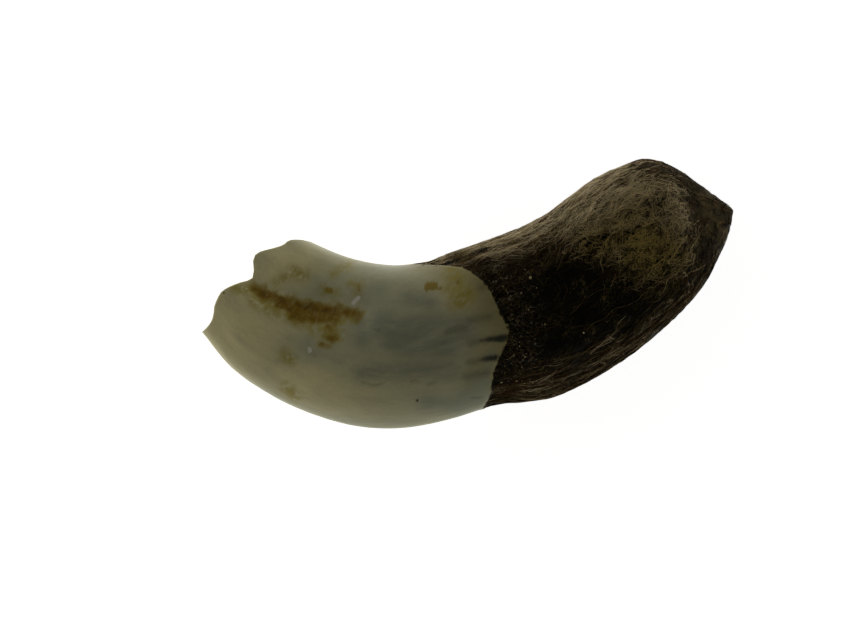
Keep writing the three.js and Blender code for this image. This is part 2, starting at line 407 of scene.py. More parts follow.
# %% The brown stain, the olive spots and their haze: start, end, radius
BROWN_STROKES = [
    ((3.5, 1.86), (4.2, 1.4), 0.14), ((4.1, 1.4), (5.00, 0.8), 0.26), ((4.98, 0.62), (6.16, 0.06), 0.38),
    ((5.35, 0.2), (5.8, -0.45), 0.27), ((6.16, 0.02), (7.16, -0.42), 0.35),
    ((7.24, -0.26), (8.00, -0.62), 0.33), ((7.0, -0.8), (7.85, -1.05), 0.2),
    ((8.09, -0.66), (9.16, -1.00), 0.2), ((6.2, -0.5), (6.9, -0.9), 0.12),
    ((9.12, -0.93), (9.05, -1.2), 0.12), ((7.28, -1.13), (7.5, -1.92), 0.0),
    ((7.25, -2.08), (7.5, -2.18), 0.2), ((6.65, -2.24), (7.08, -2.29), 0.03),
]
OLIVE_STROKES = [
    ((13.36, -0.5), (13.6, -0.36), 0.1), ((13.64, -0.36), (13.88, -0.38), 0.21),
    ((13.9, -0.44), (14.2, -0.6), 0.1), ((7.72, 0.74), (7.9, 0.69), 0.12),
    ((9.6, 0.62), (9.56, 0.34), 0.06), ((15.2, -0.3), (15.3, -0.62), 0.05),
    # The last stroke is painted shade, the dark side of the painted highlight.
    ((6.1, -2.64), (6.14, -2.74), 0.03),
]
HAZE_STROKES = [
    ((15.05, 0.05), (15.25, -0.45), 0.2), ((15.28, -0.49), (15.06, -0.82), 0.26),
    ((14.88, -1.0), (14.9, -1.25), 0.06), ((14.95, -0.85), (14.6, -0.76), 0.1),
    ((15.0, -1.6), (15.6, -1.3), 0.35), ((2.52, 2.1), (3.1, 1.8), 0.16), ((3.1, 1.9), (3.7, 1.7), 0.1),
    ((3.5, 1.1), (4.6, 0.2), 0.25), ((6.02, 2.25), (6.55, 1.93), 0.15), ((8.3, 1.6), (9.31, 1.92), 0.02),
    ((4.46, -2.36), (4.68, -2.71), 0.15), ((5.2, -0.2), (6.2, -0.9), 0.2),
    ((6.2, -1.0), (6.9, -1.4), 0.12), ((6.4, -1.2), (7.9, -1.9), 0.2), ((7.9, -1.2), (8.5, -1.2), 0.12),
    ((9.2, 0.8), (9.6, 0.6), 0.02), ((9.6, 0.6), (9.4, 0.1), 0.02), ((7.6, 0.8), (8.0, 0.65), 0.1),
    ((7.6, 0.7), (8.2, 0.5), 0.1), ((4.9, 1.9), (5.7, 2.1), 0.02), ((4.1, -4.3), (4.5, -4.9), 0.15),
]

# %% Slate streaks at the neck, grey bands under the enamel, and small marks
SLATE_STREAKS = [
    ((15.8, -4.1), (16.3, -4.16), 0.06), ((16.3, -4.16), (16.7, -4.22), 0.14),
    ((16.7, -4.22), (17.52, -4.31), 0.19), ((15.5, -5.21), (15.95, -5.24), 0.05),
    ((15.95, -5.24), (16.55, -5.28), 0.15), ((14.5, -7.28), (15.16, -7.36), 0.02),
    ((15.2, -6.0), (16.1, -6.1), -0.03),
]
GREY_STREAKS = [
    ((14.1, -3.2), (15.1, -3.27), 0.06), ((15.4, -2.82), (16.59, -2.89), 0.05),
    ((14.48, -5.94), (15.77, -6.01), 0.1), ((16.52, -1.11), (16.61, -1.14), 0.12),
    ((15.2, -4.1), (16.15, -4.14), 0.1), ((14.9, -5.2), (15.7, -5.23), 0.08),
]
GREY_BANDS = [
    ((10.21, -1.9), (15.08, -3.4), 0.4), ((10.96, -2.9), (13.74, -3.94), 0.5),
    ((8.61, -4.42), (13.62, -5.32), 0.15), ((9.25, -1.6), (9.17, -2.39), 0.1),
    ((5.9, -1.9), (6.06, -2.6), -0.15), ((12.1, -6.95), (13.9, -7.59), 0.22),
    ((13.9, -7.59), (15.4, -6.95), 0.55), ((15.4, -6.95), (16.2, -5.0), -0.1),
    ((12.3, -0.8), (13.38, -1.25), 0.0), ((9.3, 0.3), (9.9, -0.6), -0.4),
]
DARK_DOTS = [
    ((11.38, -6.68), (11.38, -6.68), 0.17), ((1.74, 1.98), (1.74, 1.98), 0.11),
    ((13.42, -6.43), (13.42, -6.43), 0.07),
]
# The first stroke is a pale chip; the second is a painted highlight.
PALE_CHIP_AND_HIGHLIGHT = [((9.06, -0.33), (9.44, -0.08), 0.1), ((5.97, -2.34), (5.95, -2.52), 0.1)]
WRINKLES = [
    ((8.59, -4.92), (9.21, -5.31), 0.01), ((9.21, -5.31), (9.82, -5.25), 0.01),
    ((11.3, -5.5), (11.9, -5.62), 0.01), ((12.2, -5.9), (12.7, -5.95), 0.01),
    ((9.9, -2.1), (10.3, -2.3), 0.01),
]

# %% Store them on the body
STROKES = {
    "brown": BROWN_STROKES, "olive_spot": OLIVE_STROKES, "haze": HAZE_STROKES, "slate": SLATE_STREAKS,
    "grey_streak": GREY_STREAKS, "grey_band": GREY_BANDS, "dot": DARK_DOTS, "chip_and_highlight": PALE_CHIP_AND_HIGHLIGHT,
    "wrinkle": WRINKLES,
}
INNER_FACE_GAP = 6.0  # mm, added on the inner face to keep it clean
# Where the enamel is yellow and also painted lighter: painted light towards the tip and the lower edge.
YELLOW_AND_PAINTED_LIGHT_OVALS = [
    (1, (2.4, 0.0), 3.4, 3.6), (1, (5.6, 2.6), 2.4, 1.5, -10), (0.8, (5.6, -4.4), 3.6, 1.5, -32),
    (0.5, (8.0, -5.2), 3.0, 1.6, -12), (1, (15.5, -0.7), 1.2, 1.6), (0.5, (16.3, -5.6), 0.8, 2.4, 12),
]


def store(mesh, name, values):
    """Writes one number, or three, for each vertex, for the shader to read."""
    kind, field = ("FLOAT", "value") if np.ndim(values) == 1 else ("FLOAT_VECTOR", "vector")
    layer = mesh.attributes.new(name, kind, "POINT")
    layer.data.foreach_set(field, np.ravel(values))


store(body.data, "own", own)
store(body.data, "rootward", rootward)
for name, strokes in STROKES.items():
    store(body.data, name + "_gap", stroke_gap(plan, strokes) + INNER_FACE_GAP * (1 - facing_up))
store(body.data, "yellowed_and_painted_light", strongest(plan, YELLOW_AND_PAINTED_LIGHT_OVALS) * (0.4 + 0.6 * facing_up))
# The lower margin of the enamel, where the surface turns towards -y. The shader paints shade there and
# dulls the shine.
store(body.data, "shaded_lower_margin", ease(-normals[:, 1], 0.45, 0.95))
for name, weight in root.items():
    store(body.data, name, weight)

# %% The brown line of dentine in the worn facet under the cutting edge
EDGE_OUTWARD = np.array([-0.45, 0.89])  # the way the worn facet looks, in the plan
worn = ease(normals[:, :2] @ EDGE_OUTWARD, 0.3, 0.55) * ease(-normals[:, 2], 0.05, 0.3)
near_edge = (1 - ease(plan[:, 0], 5.9, 6.7)) * (1 - ease(station, 14, 20))
worn = worn * near_edge
facet_low, facet_high = np.percentile(own[worn > 0.9, 2], (2, 98))
dentine = worn * ease(own[:, 2], facet_low + 0.1, facet_low + 0.4)
dentine *= 1 - ease(own[:, 2], facet_high - 0.7, facet_high - 0.4)
store(body.data, "dentine", dentine)
print("worn facet, heights in mm:", round(float(facet_low), 2), "to", round(float(facet_high), 2))
print("stored:", len(body.data.attributes), "attributes")

# %% [markdown]
# ## A small kit for shader nodes
# Every pattern below is a sum or a mix of a few numbers, so a few helpers are enough. They read a
# stored value, do arithmetic, make noise, turn a value into a soft mask, and lay one colour over
# another. A socket knows the node tree that it is in, so the helpers find the tree by themselves.
# Written this way a material reads almost like a formula.

# %% Node helpers: start a material, read and link values
def new_material(name):
    material = bpy.data.materials.new(name)
    material.use_nodes = True
    tree = material.node_tree
    return material, tree, tree.nodes["Principled BSDF"]


def is_socket(value):
    return isinstance(value, bpy.types.NodeSocket)


def new_node(kind, *values):
    """A new node in the tree of the first socket among the values."""
    tree = next(value.id_data for value in values if is_socket(value))
    return tree.nodes.new(kind)


def wire(source, socket):
    """Links a socket, or sets a plain value."""
    if is_socket(source):
        socket.id_data.links.new(source, socket)
    else:
        socket.default_value = source


def stored(tree, name, output="Fac"):
    node = tree.nodes.new("ShaderNodeAttribute")
    node.attribute_name = name
    return node.outputs[output]


# %% Node helpers: arithmetic, masks and noise
EVEN = np.ones(3)  # EVEN / 2 is the size of noise with two lumps to a millimetre in every direction


def math_node(operation, a, b=0.0, c=0.0):
    node = new_node("ShaderNodeMath", a, b, c)
    node.operation = operation
    for source, socket in zip((a, b, c), node.inputs):
        wire(source, socket)
    return node.outputs[0]


def times(a, b):
    return math_node("MULTIPLY", a, b)


def times_plus(a, b, c):
    """a times b, plus c."""
    return math_node("MULTIPLY_ADD", a, b, c)


def mask(value, start, end):
    """A soft step from 0 at start to 1 at end. start may be above end."""
    node = new_node("ShaderNodeMapRange", value)
    node.interpolation_type = "SMOOTHSTEP"
    wire(value, node.inputs["Value"])
    node.inputs["From Min"].default_value = start
    node.inputs["From Max"].default_value = end
    return node.outputs["Result"]


def noise_node(coordinates, size, detail=3.0, roughness=0.55, distortion=0.0):
    """Noise, 0 to 1. size: one lump in mm, along, across and in height."""
    scaled = new_node("ShaderNodeMapping", coordinates)
    wire(coordinates, scaled.inputs["Vector"])
    scaled.inputs["Scale"].default_value = [1 / length for length in size]
    node = new_node("ShaderNodeTexNoise", coordinates)
    wire(scaled.outputs["Vector"], node.inputs["Vector"])
    node.inputs["Scale"].default_value = 1.0
    node.inputs["Detail"].default_value = detail
    node.inputs["Roughness"].default_value = roughness
    node.inputs["Distortion"].default_value = distortion
    return node.outputs["Fac"]


def parts(vector):
    """The three numbers of a vector or a colour."""
    node = new_node("ShaderNodeSeparateXYZ", vector)
    wire(vector, node.inputs[0])
    return node.outputs


def threads(noise_value, thickness):
    """1 along the thin winding lines where a noise crosses its middle value, 0 elsewhere."""
    away = math_node("ABSOLUTE", math_node("SUBTRACT", noise_value, 0.5))
    return mask(away, thickness, 0.0)


# %% Node helper: lay one colour over another
COLOUR_A, COLOUR_B, COLOUR_OUT = 6, 7, 2  # the places of a Mix node's colour sockets


def lay(under, over, *amounts, mode="MIX"):
    """Lays a colour over another one, as strongly as the product of the amounts."""
    amount = amounts[0]
    for factor in amounts[1:]:
        amount = times(amount, factor)
    node = new_node("ShaderNodeMix", under, over, amount)
    node.data_type = "RGBA"
    node.blend_type = mode
    wire(amount, node.inputs["Factor"])
    wire(under, node.inputs[COLOUR_A])
    wire(over, node.inputs[COLOUR_B])
    return node.outputs[COLOUR_OUT]


# %% [markdown]
# ## The finish of the tooth
# One material covers crown and root, because they are one piece and meet at a ragged line. Enamel is a pale
# olive grey. It is yellow and painted lighter towards the tip and the lower edge, painted darker along its
# lower margin as painted shade, and blue-grey where the dark inside shows through. Dried tissue on the root
# is dark brown, with streaks that run along it, a green-grey painted sheen on the rim near its end, and
# pale painted glints near the neck.
# Enamel is smooth and slightly translucent; the root is dull, apart from the glossy patch.

# %% Enamel: ground colour, clouds and bands
ENAMEL = (0.53, 0.497, 0.285, 1)
ENAMEL_COOL = (0.45, 0.45, 0.272, 1)
ENAMEL_YELLOW_PAINTED_LIGHT = (0.88, 0.775, 0.385, 1)
ENAMEL_GREY = (0.285, 0.295, 0.195, 1)
ENAMEL_NECK = (0.31, 0.262, 0.095, 1)
FRAY_SIZE = EVEN / 2.6
FINE_FRAY_SIZE = (0.13, 0.5, 0.5)
CLOUD_SIZE = (3.6, 1.7, 1.7)
BAND_SIZE = (5.0, 0.45, 0.45)

tooth_finish, tree, shader = new_material("tooth_finish")
own_space = stored(tree, "own", "Vector")
rootward_value = stored(tree, "rootward")
fray = noise_node(own_space, FRAY_SIZE, 4.0, 0.62)
fray_fine = noise_node(own_space, FINE_FRAY_SIZE, 3.0, 0.6)
fray_sum = times_plus(math_node("ADD", fray, fray_fine), 0.5, -0.5)
even_fray = math_node("SUBTRACT", fray, 0.5)

cloud = noise_node(own_space, CLOUD_SIZE, 3.0, 0.5)
bands = noise_node(own_space, BAND_SIZE)
enamel = lay(ENAMEL_COOL, ENAMEL, mask(cloud, 0.22, 0.72))
# Yellow, and paler than the enamel really is: painted light towards the tip and the lower edge.
enamel = lay(enamel, ENAMEL_YELLOW_PAINTED_LIGHT, mask(cloud, 0.0, 0.5), stored(tree, "yellowed_and_painted_light"))
enamel = lay(enamel, ENAMEL_NECK, mask(rootward_value, -3.2, -0.2), 0.75)
grey_gap = times_plus(fray_sum, 0.4, stored(tree, "grey_band_gap"))
enamel = lay(enamel, ENAMEL_GREY, mask(grey_gap, 0.95, -0.35), mask(bands, 0.1, 0.6), 0.8)

# %% Enamel: grain, slate streaks, haze and olive spots
STAIN_HAZE = (0.39, 0.29, 0.0, 1)
STAIN_OLIVE = (0.31, 0.205, 0.0, 1)
STREAK_SLATE = (0.034, 0.035, 0.024, 1)
MOTTLE_SIZE = (1.5, 0.5, 0.5)
SCRATCH_SIZE = (2.2, 0.055, 0.055)


def stain(under, name, colour, edge, strength, fray_noise=None, reach=0.0):
    """Colours the strokes of that name. edge: the gaps in mm at which the colour starts and is full."""
    gap = stored(tree, name + "_gap")
    if fray_noise is not None:
        gap = times_plus(fray_noise, reach, gap)
    return lay(under, colour, mask(gap, *edge), strength)


mottle = noise_node(own_space, MOTTLE_SIZE, 4.0, 0.65)
scratch = noise_node(own_space, SCRATCH_SIZE, 3.0, 0.6)
grain = times_plus(mottle, 1.6, times(scratch, 1.2))
enamel = lay(enamel, times_plus(grain, 0.66, 0.03), 0.34, mode="MULTIPLY")
enamel = stain(enamel, "grey_streak", STREAK_SLATE, (0.35, -0.1), 0.33, fray_sum, 0.3)
enamel = stain(enamel, "slate", STREAK_SLATE, (0.13, -0.12), 0.95, fray_sum, 0.25)
enamel = lay(enamel, STAIN_HAZE, mask(stored(tree, "haze_gap"), 0.6, -0.2), mask(fray, 0.3, 0.6), 0.7)
enamel = stain(enamel, "olive_spot", STAIN_OLIVE, (0.11, -0.07), 0.9, even_fray, 0.55)

# %% Enamel: the brown stain, dentine, wrinkles, dots, a pale chip and a painted highlight
STAIN_BROWN = (0.255, 0.138, 0.0, 1)
STAIN_DARK = (0.13, 0.062, 0.0, 1)
DENTINE = (0.23, 0.14, 0.05, 1)
DOT_DARK = (0.03, 0.025, 0.015, 1)
CHIP_AND_HIGHLIGHT_PALE = (0.9, 0.88, 0.72, 1)
SLOW_FRAY_SIZE = EVEN / 1.5

slow_fray = math_node("SUBTRACT", noise_node(own_space, SLOW_FRAY_SIZE, 2.0, 0.5), 0.5)
brown_gap = times_plus(fray_sum, 0.5, times_plus(slow_fray, 0.8, stored(tree, "brown_gap")))
brown_grain = times_plus(mask(fray_fine, 0.3, 0.55), 0.36, 0.6)
brown_amount = times(mask(brown_gap, 0.26, -0.16), brown_grain)
brown = lay(STAIN_BROWN, STAIN_DARK, mask(mottle, 0.35, 0.6), mask(brown_gap, 0.0, -0.35))
enamel = lay(enamel, STAIN_HAZE, mask(brown_gap, 0.42, -0.02), 0.55)
enamel = lay(enamel, brown, brown_amount)
enamel = lay(enamel, DENTINE, mask(mottle, 0.1, 0.5), stored(tree, "dentine"), 0.9)
enamel = stain(enamel, "wrinkle", STREAK_SLATE, (0.14, 0.0), 0.22, even_fray, 0.35)
enamel = stain(enamel, "dot", DOT_DARK, (0.0, -0.08), 1.0)
# A pale chip, and a painted highlight.
enamel = stain(enamel, "chip_and_highlight", CHIP_AND_HIGHLIGHT_PALE, (0.06, -0.03), 0.62)

# %% Root: the patterns of strands, clumps, felt and winding threads
STRAND_SIZE = (1.1, 0.075, 0.075)
CLUMP_SIZE = (1.9, 0.42, 0.42)
FELT_SIZE = (0.3, 0.2, 0.2)
BLOTCH_SIZE = (1.1, 0.9, 0.9)
CURL_SIZE = (0.5, 0.33, 0.33)
CURL_THICKNESS = 0.045  # as a step of the noise

strands = noise_node(own_space, STRAND_SIZE, 4.0, 0.62, 0.7)
clumps = noise_node(own_space, CLUMP_SIZE, 3.0, 0.6, 0.5)
felting = noise_node(own_space, FELT_SIZE, 4.0, 0.65, 1.2)
blotch = noise_node(own_space, BLOTCH_SIZE, 4.0, 0.6)
curls = threads(noise_node(own_space, CURL_SIZE, 2.0, 0.5, 1.6), CURL_THICKNESS)
combing = math_node("ADD", strands, clumps)

# %% Root: its colours, region by region
ROOT_DARK = (0.0034, 0.0034, 0.0012, 1)
ROOT_BROWN = (0.028, 0.0215, 0.008, 1)
ROOT_PALE = (0.38, 0.31, 0.19, 1)
ROOT_OLIVE = (0.33, 0.235, 0.07, 1)
ROOT_END = (0.090, 0.063, 0.022, 1)
ROOT_END_LOW = (0.055, 0.042, 0.018, 1)
ROOT_RED = (0.055, 0.027, 0.008, 1)
RIM_PAINTED_SHEEN = (0.055, 0.058, 0.038, 1)

root_colour = lay(ROOT_DARK, ROOT_BROWN, mask(felting, 0.42, 0.70))
end_colour = lay(ROOT_END_LOW, ROOT_END, mask(blotch, 0.34, 0.62))
for region, colour, pattern, strength in (
        ("rusty", ROOT_RED, mask(felting, 0.40, 0.60), 1.0),
        ("mat", ROOT_OLIVE, mask(felting, 0.48, 0.66), 0.4),
        ("hollow", ROOT_PALE, mask(combing, 0.98, 1.22), 1.0),
        ("lower", ROOT_PALE, mask(combing, 1.05, 1.28), 0.35),
        ("olive", ROOT_OLIVE, mask(felting, 0.46, 0.68), 1.0),
        ("ridge", ROOT_PALE, mask(felting, 0.40, 0.62), 1.0),
        ("end", end_colour, 1.0, 1.0),
        ("corner", ROOT_RED, 1.0, 1.0),
        ("bare", ROOT_DARK, mask(blotch, 0.72, 0.5), 1.0)):
    root_colour = lay(root_colour, colour, stored(tree, region), pattern, strength)
root_colour = lay(root_colour, ROOT_OLIVE, curls, mask(blotch, 0.44, 0.6), 0.4)
# Painted glints: pale winding threads near the neck.
root_colour = lay(root_colour, ROOT_PALE, curls, stored(tree, "neckzone"), 0.5)
# Painted sheen: a green-grey tint on the rim near the end, where the surface turns over towards the floor.
root_colour = lay(root_colour, RIM_PAINTED_SHEEN, mask(clumps, 0.25, 0.6), stored(tree, "rim"))

# %% Root: pale specks near the neck, painted glints
SPECK_SIZE = 0.24  # mm
SPECK_PAINTED_GLINT = (0.45, 0.42, 0.30, 1)

cells = tree.nodes.new("ShaderNodeTexVoronoi")
wire(own_space, cells.inputs["Vector"])
cells.inputs["Scale"].default_value = 1 / SPECK_SIZE
lot, size_draw, _ = parts(cells.outputs["Color"])  # random numbers that each cell draws
speck_reach = times_plus(size_draw, 0.3, 0.1)
speck = mask(math_node("DIVIDE", cells.outputs["Distance"], speck_reach), 1.1, 0.7)
few_cells = mask(lot, 0.66, 0.76)
# Painted glints: pale specks in a few cells near the neck.
root_colour = lay(root_colour, SPECK_PAINTED_GLINT, speck, few_cells, stored(tree, "neckzone"), 0.8)

# %% Join crown and root at the ragged neck line
JAG_SIZE = EVEN / 1.3

jagged = math_node("SUBTRACT", noise_node(own_space, JAG_SIZE, 6.0, 0.72), 0.5)
ragged = times_plus(jagged, 0.55, times_plus(fray_sum, 0.2, rootward_value))
root_amount = mask(ragged, -0.05, 0.05)
shaded_lower_margin = stored(tree, "shaded_lower_margin")
enamel = lay(enamel, STAIN_HAZE, mask(ragged, -0.2, -0.02), 0.2)
# Painted shade: the lower margin is painted a darker grey, against the bright edge that the light gives it.
enamel = lay(enamel, ENAMEL_GREY, shaded_lower_margin, 0.45)
wire(lay(enamel, root_colour, root_amount), shader.inputs["Base Color"])

# %% Roughness, shine, fine bumps and a little translucency
SHINE = 0.28
DULLER = 0.22  # how much of the shine the root and the enamel's underside lose


def across_neck(enamel_value, root_value):
    """The first value on the crown, the second on the root."""
    return times_plus(math_node("SUBTRACT", root_value, enamel_value), root_amount, enamel_value)


enamel_rough = times_plus(cloud, 0.2, 0.26)
root_rough = times_plus(stored(tree, "bare"), -0.3, 0.7)
wire(across_neck(enamel_rough, root_rough), shader.inputs["Roughness"])
dull = math_node("ADD", times(brown_amount, 0.18), times(root_amount, DULLER))
dull = math_node("MAXIMUM", dull, times(shaded_lower_margin, DULLER))
wire(math_node("SUBTRACT", SHINE, dull), shader.inputs["Specular IOR Level"])

enamel_bump = times(math_node("ADD", mottle, scratch), 0.07)
root_bump = times_plus(curls, 0.3, math_node("ADD", strands, felting))
bump = tree.nodes.new("ShaderNodeBump")
bump.inputs["Strength"].default_value = 0.8
bump.inputs["Distance"].default_value = 0.06 * MM
wire(across_neck(enamel_bump, root_bump), bump.inputs["Height"])
wire(bump.outputs["Normal"], shader.inputs["Normal"])
shader.inputs["IOR"].default_value = 1.5
shader.inputs["Subsurface Weight"].default_value = 0.08
shader.inputs["Subsurface Radius"].default_value = (1.0, 0.85, 0.55)
shader.inputs["Subsurface Scale"].default_value = 0.4 * MM
body.data.materials.append(tooth_finish)
print("nodes in the finish of the tooth:", len(tree.nodes))

# %% [markdown]
# ## Fibres on the root
# The dried fibres are real meshes, so they cast small shadows and fray the outline. Each fibre starts
# at a random point of the root and creeps both ways over the surface in short steps. After each step
# it is put back just above the surface, which makes it lie flat like matted hair. Combed fibres keep
# their heading, curly ones turn at every step. All fibres of one kind are joined into one mesh,
# because thousands of separate objects would be slow and hard to handle.

# %% Surface to grow on
surface_points = triples(body.data.vertices, "co")
corners = np.array([tuple(face.vertices) for face in body.data.polygons])
surface_tree = BVHTree.FromPolygons(surface_points.tolist(), corners.tolist())
face_centres = surface_points[corners].mean(1)
edge_a = surface_points[corners[:, 1]] - surface_points[corners[:, 0]]
edge_b = surface_points[corners[:, 2]] - surface_points[corners[:, 0]]
face_cross = np.cross(edge_a, edge_b)
face_areas = np.linalg.norm(face_cross, axis=1) / 2
face_rootward = rootward[corners].mean(1)
face_upness = normals[corners, 2].mean(1)
face_regions = {name: weight[corners].mean(1) for name, weight in root.items()}
print("root area, mm2:", round(float(face_areas[face_rootward > 0].sum() / MM**2), 1))

# %% Directions on the surface
SIDES = 3  # of a tube
SEGMENTS = 8  # of a fibre
END_SHARE = 0.25  # how high the ends of a fibre lie, as a share of its lift
ARCH_SHARE = 0.75  # what its arch adds in the middle
KEEP_OFF = 0.12  # mm from the neck at which a fibre turns aside
CLEAR_OF_NECK = 0.02  # mm; a fibre that still comes closer is left out
TURNING = 1.5  # how strongly a fibre turns to its wanted heading at each step
WAVE_SHIFT = 56.0  # picks the part of the noise that makes neighbours swing together
TINY = 1e-12  # keeps a division by a zero length from failing


def unit(vectors):
    """Each vector divided by its length."""
    return vectors / np.maximum(np.linalg.norm(vectors, axis=-1, keepdims=True), TINY)


def on_surface(places):
    """The nearest surface point and its normal for each place."""
    found = [surface_tree.find_nearest(Vector(place)) for place in places]
    return np.array([f[0] for f in found]), np.array([f[1] for f in found])


def swing_at(places, normal, size, shift):
    """The tooth's heading, a smooth random number (-1 to 1) and the distance from the neck."""
    plan = to_plan(places)
    station, share = section_of(plan)
    scaled = straightened(places, station, share) / np.array(size) + shift
    swing = np.array([noise.noise(p) for p in scaled]) * 2
    from_neck = past_neck(station, share, outer_share(normal[:, 2]))
    return at_station(heading_line, station), swing, from_neck


# %% Let fibres creep over the surface
def walk(place, normal, steps, step, own_angle, wave, wave_size, shift):
    """Creeps over the surface in equal steps and returns the places and normals that it passes."""
    passed, direction = [], None
    for _ in range(steps):
        heading, swing, from_neck = swing_at(place, normal, wave_size, shift)
        heading = np.column_stack([heading, np.zeros(len(place))])
        flat = unit(heading - normal * (heading * normal).sum(1)[:, None])
        across = np.cross(normal, flat)
        angle = np.radians(own_angle + swing * wave)
        wanted = flat * np.cos(angle)[:, None] + across * np.sin(angle)[:, None]
        wanted *= np.sign(step)[:, None]
        direction = wanted if direction is None else unit(direction + TURNING * wanted)
        leaving = (from_neck < KEEP_OFF) & (step < 0)
        direction[leaving] = across[leaving] * np.where(own_angle[leaving] > 0, 1, -1)[:, None]
        ahead, normal = on_surface(place + direction * np.abs(step)[:, None])
        direction = unit(ahead - place)
        place = ahead
        passed.append((place, normal, from_neck))
    return passed


def creep(rng, count, weight, length, spread, wave, wave_size, lift):
    """Centre lines of fibres: points (count, SEGMENTS + 1, 3) and the surface normals beside them.

    weight: how likely a fibre lies on each face. length: mm, shortest and longest.
    spread: how far a fibre's heading differs from its neighbours', degrees, for each face.
    wave: how far all headings swing together, degrees, for each face. wave_size: mm.
    lift: how high above the surface a fibre lies, mm, lowest and highest.
    """
    chance = face_areas * weight
    start_face = rng.choice(len(chance), count, p=chance / chance.sum())
    r1, r2 = rng.random((2, count))
    r1 = np.sqrt(r1)
    a, b, c = (surface_points[corners[start_face, k]] for k in range(3))
    start = (1 - r1)[:, None] * a + (r1 * (1 - r2))[:, None] * b + (r1 * r2)[:, None] * c
    normal = unit(face_cross[start_face])
    own_angle = rng.normal(0, 1, count) * spread[start_face]
    step = rng.uniform(*length, count) / SEGMENTS * MM
    height = rng.uniform(*lift, count) * MM
    habits = own_angle, wave[start_face], wave_size, WAVE_SHIFT
    back = walk(start, normal, SEGMENTS // 2, -step, *habits)
    ahead = walk(start, normal, SEGMENTS - SEGMENTS // 2, step, *habits)
    stops = back[::-1] + [(start, normal, np.ones(count))] + ahead
    clear = np.min([stop[2] for stop in stops], axis=0) > CLEAR_OF_NECK
    line, beside = [], []
    for k, (place, normal, _) in enumerate(stops):
        arch = math.sin(math.pi * (k + 0.5) / (SEGMENTS + 1))
        line.append(place + normal * (height * (END_SHARE + ARCH_SHARE * arch))[:, None])
        beside.append(normal)
    return np.stack(line, 1)[clear], np.stack(beside, 1)[clear], start_face[clear]


# %% Turn centre lines into thin tubes
def tubes(name, line, beside, radius, tone):
    """One joined mesh of tapering three-sided tubes, with each fibre's tone stored on it."""
    count, rows, _ = line.shape
    along = unit(np.gradient(line, axis=1))
    side = unit(np.cross(along, beside))
    up = np.cross(side, along)
    t = np.linspace(0, 1, rows)
    taper = 0.25 + 0.75 * np.sin(np.pi * np.clip(t * 0.9 + 0.05, 0, 1)) ** 0.6
    ring = []
    for k in range(SIDES):
        turn = 2 * math.pi * k / SIDES
        offset = side * math.cos(turn) + up * math.sin(turn)
        ring.append(line + offset * (radius[:, None] * taper[None, :])[:, :, None] * MM)
    vertices = np.stack(ring, 2).reshape(-1, 3)
    vertices[:, 2] = np.maximum(vertices[:, 2], floor_level)
    base = np.arange(count)[:, None, None] * rows * SIDES + np.arange(rows - 1)[None, :, None] * SIDES
    k = np.arange(SIDES)[None, None, :]
    after = (k + 1) % SIDES
    quads = np.stack([base + k, base + after, base + SIDES + after, base + SIDES + k], -1).reshape(-1, 4)
    first = np.arange(count)[:, None] * rows * SIDES
    start_caps = first + np.array([[2, 1, 0]])
    end_caps = first + (rows - 1) * SIDES + np.array([[0, 1, 2]])
    mesh = bpy.data.meshes.new(name)
    mesh.from_pydata(vertices.tolist(), [], quads.tolist() + start_caps.tolist() + end_caps.tolist())
    store(mesh, "tone", np.repeat(tone, rows * SIDES, axis=0))
    mesh.shade_smooth()
    mesh.update()
    piece = add_piece(name, mesh)
    print(name, count, "fibres,", len(quads) * 2 + 2 * count, "triangles")
    return piece


# %% [markdown]
# ## The colour of a fibre
# Each fibre stores three numbers: how pale it is, how olive it is, and how rusty it is. Pale fibres lie
# along the hollow side and on the ridge, dark ones in the bare patch. Neighbours share most of their
# colour, because matted hair lies in locks.

# %% The tone of each fibre
PALENESS = 0.25
PALER = {"hollow": 0.58, "ridge": 0.62, "lower": 0.20, "olive": 0.58, "mat": 0.46}
DARKER = {"bare": 0.7, "end": 0.6, "corner": 0.75}
PALEST = 1.2


def tone_of(rng, start_face, pale_gain):
    """(paleness, olive, rust) for each fibre, from the region that it starts in."""
    here = {name: weight[start_face] for name, weight in face_regions.items()}
    centre, normal = face_centres[start_face], unit(face_cross[start_face])

    def shared(size, shift):
        """A smooth random number that neighbours share. size: mm."""
        return swing_at(centre, normal, size, shift)[1]

    pale = sum((gain * here[name] for name, gain in PALER.items()), PALENESS)
    for name, loss in DARKER.items():
        pale = pale * (1 - loss * here[name])
    # Painted shade: fibres on faces that turn downwards are darker, down to half as pale.
    pale = pale * (0.5 + 0.5 * ease(face_upness[start_face], -0.1, 0.25))
    locks = 0.7 * shared((1.3, 0.2, 0.2), 5.0) * (1 - here["mat"])
    tufts = (1.4 * shared((0.5, 0.32, 0.32), 9.0) + 0.35 * shared((1.3, 0.8, 0.8), 16.0)) * here["mat"]
    pale = pale * np.maximum(1 + locks + tufts, 0.08) * pale_gain
    pale = pale * rng.lognormal(0, 0.6, len(start_face)) ** (1 - 0.35 * here["mat"])
    pale = np.minimum(pale, PALEST - 0.9 * np.maximum(here["bare"], here["neckzone"]))
    olive = 1.2 * here["olive"] + 0.2 * here["mat"] + 0.3 * rng.random(len(start_face)) - 0.05
    rusty = 0.7 * rng.random(len(start_face)) + 0.8 * shared((1.6, 0.9, 0.9), 31.0)
    return np.column_stack([np.clip(pale, 0, PALEST), np.clip(olive, 0, 1), np.clip(rusty, 0, 1)])


# %% What the four kinds of fibre share
FIBRES_PER_KIND = 3950
everywhere = np.ones(len(face_areas))


def thinned(weight, **shares):
    """Takes that share of the weight away in each of the named regions."""
    for name, share in shares.items():
        weight = weight * (1 - share * face_regions[name])
    return weight


